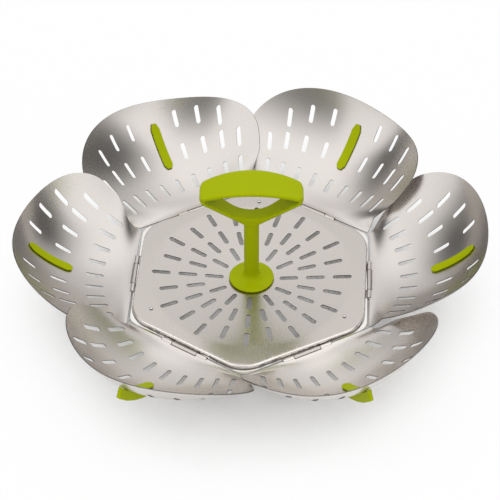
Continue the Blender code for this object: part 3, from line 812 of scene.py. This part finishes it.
foot_of_step = plate_height(panel_apothem + panel_step, 0)
print("the step's foot lies", round(-1000 * foot_of_step, 1), "mm below the panel's edge")

# %% [markdown]
# Two outlines are needed: the panel's, where the step begins, and the flange's outer edge, which steps
# in and out round the knuckles in the middle of each side.

# %% Plate outlines
corner_steps = 12
plate_corner_radius = 0.009
rim_apothem = hinge_apothem - 0.0011
knuckle_seat = 0.0003


def corner_arc(side, inner, radius, steps, turn=0.0):
    """The rounded corner before a side, of a hexagon whose arcs have their centres at the apothem inner."""
    middle = math.tau * (side - 0.5) / petal_count + turn
    centre = polar(inner / math.cos(math.pi / petal_count), middle)
    arc = []
    for step in range(steps + 1):
        reach = polar(radius, middle + math.tau / petal_count * (step / steps - 0.5))
        arc.append((centre[0] + reach[0], centre[1] + reach[1]))
    return arc


def panel_outline():
    inner = panel_apothem - panel_corner_radius
    outline = []
    for side in range(petal_count):
        outline += corner_arc(side, inner, panel_corner_radius, 2 * corner_steps, panel_turn)
    return outline


def plate_outline():
    notch_end = knuckles_end + knuckle_gap
    notch = hinge_apothem - knuckle_diameter / 2 - knuckle_gap
    steps = [(rim_apothem, -notch_end), (notch, -notch_end), (notch, -plate_knuckle_length / 2)]
    steps.append((hinge_apothem - knuckle_wall_middle, knuckle_seat - plate_knuckle_length / 2))
    steps += [(apothem, -offset) for apothem, offset in reversed(steps)]
    outline = []
    for side in range(petal_count):
        outline += corner_arc(side, rim_apothem - plate_corner_radius, plate_corner_radius, corner_steps)
        out = side_direction(side)
        along = Vector((-out.y, out.x))
        outline += [tuple(out * apothem + along * offset) for apothem, offset in steps]
    return outline


print("points round the plate:", len(plate_outline()))

# %% [markdown]
# Twenty-four spokes of slots fan out from the middle, with three and two slots by turns. The middle
# hole takes the handle's boss, and three small holes at every other corner take the rivets of the legs.

# %% Plate holes
plate_slot_length = 0.0118
plate_slot_width = 0.003
spoke_count = 24
flat_rings = (0.412, 0.705, 1.0)
between_rings = (0.627, 0.927)
leg_count = 3
leg_radius = 0.068
boss_hole_radius = 0.0048
rivet_hole_radius = 0.001


def plate_holes():
    holes = []
    slot = slot_outline(plate_slot_length, plate_slot_width)
    for step in range(spoke_count):
        spoke = math.tau * step / spoke_count
        for share in between_rings if step % 2 else flat_rings:
            holes.append([turned(x + share * slot_ring_radius, y, spoke) for x, y in slot])
    holes.append(circle(boss_hole_radius, 0, 0))
    for leg in range(leg_count):
        corner = math.pi / 2 + math.tau * leg / leg_count + panel_turn
        holes.append(circle(rivet_hole_radius, *polar(leg_radius, corner)))
    return holes


print("holes in the plate:", len(plate_holes()))

# %% [markdown]
# The slices run along X and Y, and a slot that lies just along a slice leaves slivers. So the blank is
# turned a few degrees before it is sliced, and turned back after. The step is only a millimetre wide,
# far less than a slice, so the panel's edge is extruded outwards over it, ring by ring.

# %% Plate blank
slice_turn = math.radians(4)
plate_slice = 0.0017
edge_tolerance = 0.0002
step_shares = (0.1, 0.2, 0.3, 0.4, 0.48, 0.55, 0.61, 0.67, 0.73, 0.79, 0.85, 0.92, 1.0, 1.15, 1.3)


def outward(vert, tiny=0.00001):
    """The direction in which the panel's level grows at a point."""
    here = panel_level(*vert.co.xy)
    slope = []
    for step in (Vector((tiny, 0, 0)), Vector((0, tiny, 0))):
        vert.co += step
        slope.append(panel_level(*vert.co.xy) - here)
        vert.co -= step
    return Vector((*slope, 0)).normalized()


loops = [[turned(x, y, slice_turn) for x, y in loop] for loop in (panel_outline(), *plate_holes())]
shape = punched_blank(loops[0], loops[1:])
sliced(shape, plate_slice)
bmesh.ops.rotate(shape, verts=shape.verts[:], cent=(0, 0, 0), matrix=Matrix.Rotation(-slice_turn, 3, "Z"))
step_edge = [edge for edge in shape.edges
             if edge.is_boundary and panel_level(*edge.verts[0].co.xy) > panel_apothem - edge_tolerance]
for share in step_shares:
    grown = bmesh.ops.extrude_edge_only(shape, edges=step_edge)["geom"]
    step_edge = [item for item in grown if isinstance(item, bmesh.types.BMEdge)]
    for vert in {vert for edge in step_edge for vert in edge.verts}:
        vert.co += outward(vert) * (panel_apothem + panel_step * share - panel_level(*vert.co.xy))
points = [shape.verts.new((x, y, 0)) for x, y in plate_outline()]
outer = [shape.edges.new(pair) for pair in zip(points, points[1:] + points[:1])]
bmesh.ops.triangle_fill(shape, edges=step_edge + outer, normal=(0, 0, 1))
print("plate's blank:", len(shape.faces), "faces")

# %% [markdown]
# The panel keeps the plate's own steel. The dark steel at the foot of the step is painted shade, and
# the bright one on the roll above it and on the flange is a painted highlight, so that the edge shows
# its fine double line of light and shade from every side.

# %% Plate
painted_highlight_start = 0.05
painted_shade_start = 0.7


def step_steel_and_painted_light(share):
    """The number of the material at a share of the step: 0 is the plate's own steel, 1 the dark steel of
    painted shade, 2 the bright steel of a painted highlight.
    """
    if share < painted_highlight_start:
        return 0
    return 1 if painted_shade_start < share < 1 else 2


pressed(shape, plate_height)
for face in shape.faces:
    share = (panel_level(*face.calc_center_median().xy) - panel_apothem) / panel_step
    face.material_index = step_steel_and_painted_light(share)
plate_master = object_from("plate_master", shape, plate_steel)
# The dark steel is painted shade, and the bright one a painted highlight.
for finish in (painted_shade_steel, painted_highlight_steel):
    plate_master.data.materials.append(finish)
thickened(plate_master)
plate_place = Matrix.Translation((0, 0, plate_level))
knuckle_places = [(plate_knuckle.data, side_place(side)) for side in range(petal_count)]
plate = merged("smooth_plate", [(plate_master.data, plate_place), *knuckle_places], plate_steel)
for finish in (painted_shade_steel, painted_highlight_steel):
    plate.data.materials.append(finish)
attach(plate, "base")
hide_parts("base_plate")
print("plate:", len(plate.data.vertices), "points")

for helper in (petal_master, petal_knuckles, plate_knuckle, plate_master):
    bpy.data.objects.remove(helper)

# %% [markdown]
# ## The handle
# The handle is one moulding: a round disc on the plate, a slim stem, and a V that opens into an arched
# loop with room for three fingers. Its outline is that of the CAD part, with more steps. The loop's
# walls are bridged between four rings of points, the stem and disc are spun, and a voxel remesh melts
# the two into one skin, as a mould would, which a little smoothing then softens along every edge.

# %% Handle outline
handle_turn = math.radians(3.1)
loop_top = 0.0765
loop_side = 0.067
loop_half_width = 0.0344
loop_side_radius = 0.0039
loop_least_radius = 0.0011
loop_corner_radius = 0.0036
loop_wall = 0.0028
loop_depth = 0.0227
loop_side_depth = 0.0153
loop_mouth_radius = 0.0225
stem_top = 0.0456
stem_diameter = 0.0093
loop_steps = 40
arch_trim = 4


def rounded_corner(corner, before, after, radius):
    """Points of the arc that rounds a corner between two straight stretches."""
    corner = Vector(corner)
    to_before = (Vector(before) - corner).normalized()
    to_after = (Vector(after) - corner).normalized()
    half = to_before.angle(to_after) / 2
    centre = corner + (to_before + to_after).normalized() * radius / math.sin(half)
    start = corner + to_before * radius / math.tan(half) - centre
    end = corner + to_after * radius / math.tan(half) - centre
    sweep = start.angle_signed(end)
    arc = [turned(start.x, start.y, -sweep * step / loop_steps) for step in range(loop_steps + 1)]
    return [(centre.x + x, centre.y + y) for x, y in arc]


def loop_ring(inset, bottom_radius):
    """One outline of the loop in (x, z), anticlockwise from the right: its arch, then the V below it."""
    rise = loop_top - loop_side
    arch_radius = (loop_half_width ** 2 + rise ** 2) / (2 * rise)
    slope = (loop_side - stem_top) / (loop_half_width - stem_diameter / 2)
    bottom = stem_top - stem_diameter / 2 * slope + inset * math.hypot(1, slope)
    half_corner = (math.asin(loop_half_width / arch_radius) + math.atan(slope)) / 2
    half_width = loop_half_width - inset / math.sin(half_corner)
    inner = arch_radius - inset
    reach = math.asin(half_width / inner)
    angles = [reach * (1 - 2 * step / loop_steps) for step in range(loop_steps + 1)]
    arch = [(inner * math.sin(angle), loop_top - arch_radius + inner * math.cos(angle)) for angle in angles]
    side_radius = max(loop_side_radius - inset, loop_least_radius)
    ring = rounded_corner(arch[0], (0, bottom), arch[1], side_radius) + arch[arch_trim:-arch_trim]
    ring += rounded_corner(arch[-1], arch[-2], (0, bottom), side_radius)
    return ring + rounded_corner((0, bottom), arch[-1], arch[0], bottom_radius)


outer_ring = loop_ring(0, stem_diameter / 2)
inner_ring = loop_ring(loop_wall, loop_mouth_radius)
loop_end = max(x for x, z in outer_ring)
print("loop:", round(loop_end * 2000, 1), "mm wide")

# %% [markdown]
# The loop is deepest at its crown. It narrows in a curve towards its two ends, which are rounded like
# the corners of a soap bar, and down the V to the thickness of the stem.

# %% Loop
loop_edge = 0.0011


def loop_reach(x, z):
    """Half the loop's depth: most at the crown, less at its rounded ends, and down the V to the stem's."""
    arch = loop_depth - (loop_depth - loop_side_depth) * (x / loop_half_width) ** 2
    past = min(max(abs(x) - loop_end + loop_corner_radius, 0), loop_corner_radius)
    arch -= 2 * (loop_corner_radius - math.sqrt(loop_corner_radius ** 2 - past ** 2))
    share = min((z - stem_top) / (loop_side - stem_top), 1)
    return (stem_diameter + (arch - stem_diameter) * max(share, 0) ** 2) / 2


def beveled(piece, width, segments, degrees):
    """Rounds those edges of a piece that turn by more than an angle."""
    edge = piece.modifiers.new("Edges", "BEVEL")
    edge.width = width
    edge.segments = segments
    edge.limit_method = "ANGLE"
    edge.angle_limit = math.radians(degrees)
    applied(piece)


shape = bmesh.new()
rings = []
for outline, side in ((outer_ring, -1), (outer_ring, 1), (inner_ring, 1), (inner_ring, -1)):
    points = [shape.verts.new((x, side * loop_reach(x, z), z)) for x, z in outline]
    rings.append([shape.edges.new(pair) for pair in zip(points, points[1:] + points[:1])])
for ring, following in zip(rings, rings[1:] + rings[:1]):
    bmesh.ops.bridge_loops(shape, edges=ring + following)
bmesh.ops.recalc_face_normals(shape, faces=shape.faces[:])
loop = object_from("loop", shape)
beveled(loop, loop_edge, segments=4, degrees=50)
print("loop:", len(loop.data.polygons), "faces")

# %% [markdown]
# The stem stands on a disc that covers the plate's middle hole, and a hollow boss under it takes the
# screw. All of that is round, so one half outline is spun. The disc seats a little above the sheet, as
# it does in the CAD part.

# %% Stem and disc
disc_radius = 0.0142
disc_edge = 0.0008
disc_rise = 0.003
boss_radius = 0.0045
boss_end = -0.0059
screw_bore_radius = 0.0023
bore_top = 0.0061
seat_gap = 0.0003
stem_fillet = 0.004
fillet_steps = 12
stem_overlap = 0.001
stem_tip = 0.005
spin_steps = 64


def stem_profile():
    """The half outline from the bore, round the boss and the disc, and up the stem."""
    seat = sheet / 2 + seat_gap
    inside = disc_radius - disc_edge
    disc_rim = cone_height(disc_radius) + seat
    crown = cone_height(0) + seat + disc_rise
    profile = [(screw_bore_radius, bore_top), (screw_bore_radius, boss_end), (boss_radius, boss_end)]
    profile += [(boss_radius, cone_height(boss_radius) + seat), (inside, cone_height(inside) + seat)]
    profile += [(disc_radius, disc_rim + disc_edge), (inside, disc_rim + 2 * disc_edge)]
    for step in range(fillet_steps + 1):
        angle = math.pi / 2 * step / fillet_steps
        out = stem_diameter / 2 + stem_fillet * (1 - math.sin(angle))
        profile.append((out, crown + stem_fillet * (1 - math.cos(angle))))
    return profile + [(stem_diameter / 2, stem_top + stem_overlap)]


shape = bmesh.new()
points = [shape.verts.new((radius, 0, height)) for radius, height in stem_profile()]
ends = [shape.verts.new((0, 0, bore_top)), shape.verts.new((0, 0, stem_top + stem_tip))]
points = [ends[0], *points, ends[1]]
edges = [shape.edges.new(pair) for pair in zip(points, points[1:])]
bmesh.ops.spin(shape, geom=points + edges, cent=(0, 0, 0), axis=(0, 0, 1), dvec=(0, 0, 0), angle=math.tau,
               steps=spin_steps, use_merge=True)
bmesh.ops.remove_doubles(shape, verts=shape.verts[:], dist=0.00001)
bmesh.ops.recalc_face_normals(shape, faces=shape.faces[:])
stem = object_from("stem", shape)
print("stem:", len(stem.data.polygons), "faces")

# %% [markdown]
# The two are placed as one, with the slight turn of the handle and a lean of less than a degree, and
# melted.

# %% One moulding
handle_lean = math.radians(0.95)
handle_voxel = 0.00042
handle_softening = 9


def moulded(piece, voxel, iterations):
    """Melts a piece into one skin and softens its edges, as moulded plastic has them."""
    melt = piece.modifiers.new("Melt", "REMESH")
    melt.mode = "VOXEL"
    melt.voxel_size = voxel
    melt.use_smooth_shade = True
    soften = piece.modifiers.new("Soften", "SMOOTH")
    soften.factor = 0.5
    soften.iterations = iterations
    applied(piece)
    piece.data.materials.clear()
    piece.data.materials.append(green)
    piece.data.shade_smooth()


handle_turned = Matrix.Rotation(handle_lean, 4, "Y") @ Matrix.Rotation(handle_turn, 4, "Z")
handle_place = Matrix.Translation((0, 0, plate_level)) @ handle_turned
handle = merged("smooth_handle", [(loop.data, handle_place), (stem.data, handle_place)], green)
moulded(handle, handle_voxel, handle_softening)
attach(handle, "base")
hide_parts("handle")
for helper in (loop, stem):
    bpy.data.objects.remove(helper)
print("handle:", len(handle.data.polygons), "faces")

# %% [markdown]
# ## The small pieces
# The feet, the legs, the pins and the fasteners keep the shapes of the CAD part. A moulded or turned
# piece has no knife edges, so a merged copy of each gets a small bevel, which catches a thin line of
# light. The feet are soft mouldings, so they are melted into one skin too.

# %% Small pieces
foot_edge = 0.00035
foot_voxel = 0.00026
foot_softening = 5
leg_edge = 0.0004
pin_edge = 0.0001
fastener_edge = 0.00015


def softened_copy(name, finish, width):
    """A merged copy of a CAD node with a small bevel along its edges."""
    shape = bmesh.new()
    shape.from_mesh(nodes[name].data)
    bmesh.ops.remove_doubles(shape, verts=shape.verts[:], dist=0.000005)
    bmesh.ops.dissolve_limit(shape, angle_limit=math.radians(1), verts=shape.verts[:], edges=shape.edges[:])
    piece = object_from("soft_" + name, shape, finish)
    beveled(piece, width, segments=3, degrees=40)
    smooth_by_angle(piece, 50)
    return piece


def dress(name, body, finish, width):
    """Puts a softened copy in the place of a CAD node."""
    piece = softened_copy(name, finish, width)
    if name.startswith("petal_foot"):
        moulded(piece, foot_voxel, foot_softening)
    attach(piece, body)
    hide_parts(name)


for side in range(1, petal_count + 1):
    dress(f"petal_foot_{side}", f"petal_{side}_body", green, foot_edge)
    dress(f"hinge_pin_{side}", "base", fastener_steel, pin_edge)
for leg in range(1, leg_count + 1):
    dress(f"leg_{leg}", "base", green, leg_edge)
    dress(f"leg_rivet_{leg}", "base", fastener_steel, fastener_edge)
for name in ("handle_washer", "handle_screw"):
    dress(name, "base", fastener_steel, fastener_edge)
print("small pieces:", 2 * petal_count + 2 * leg_count + 2)
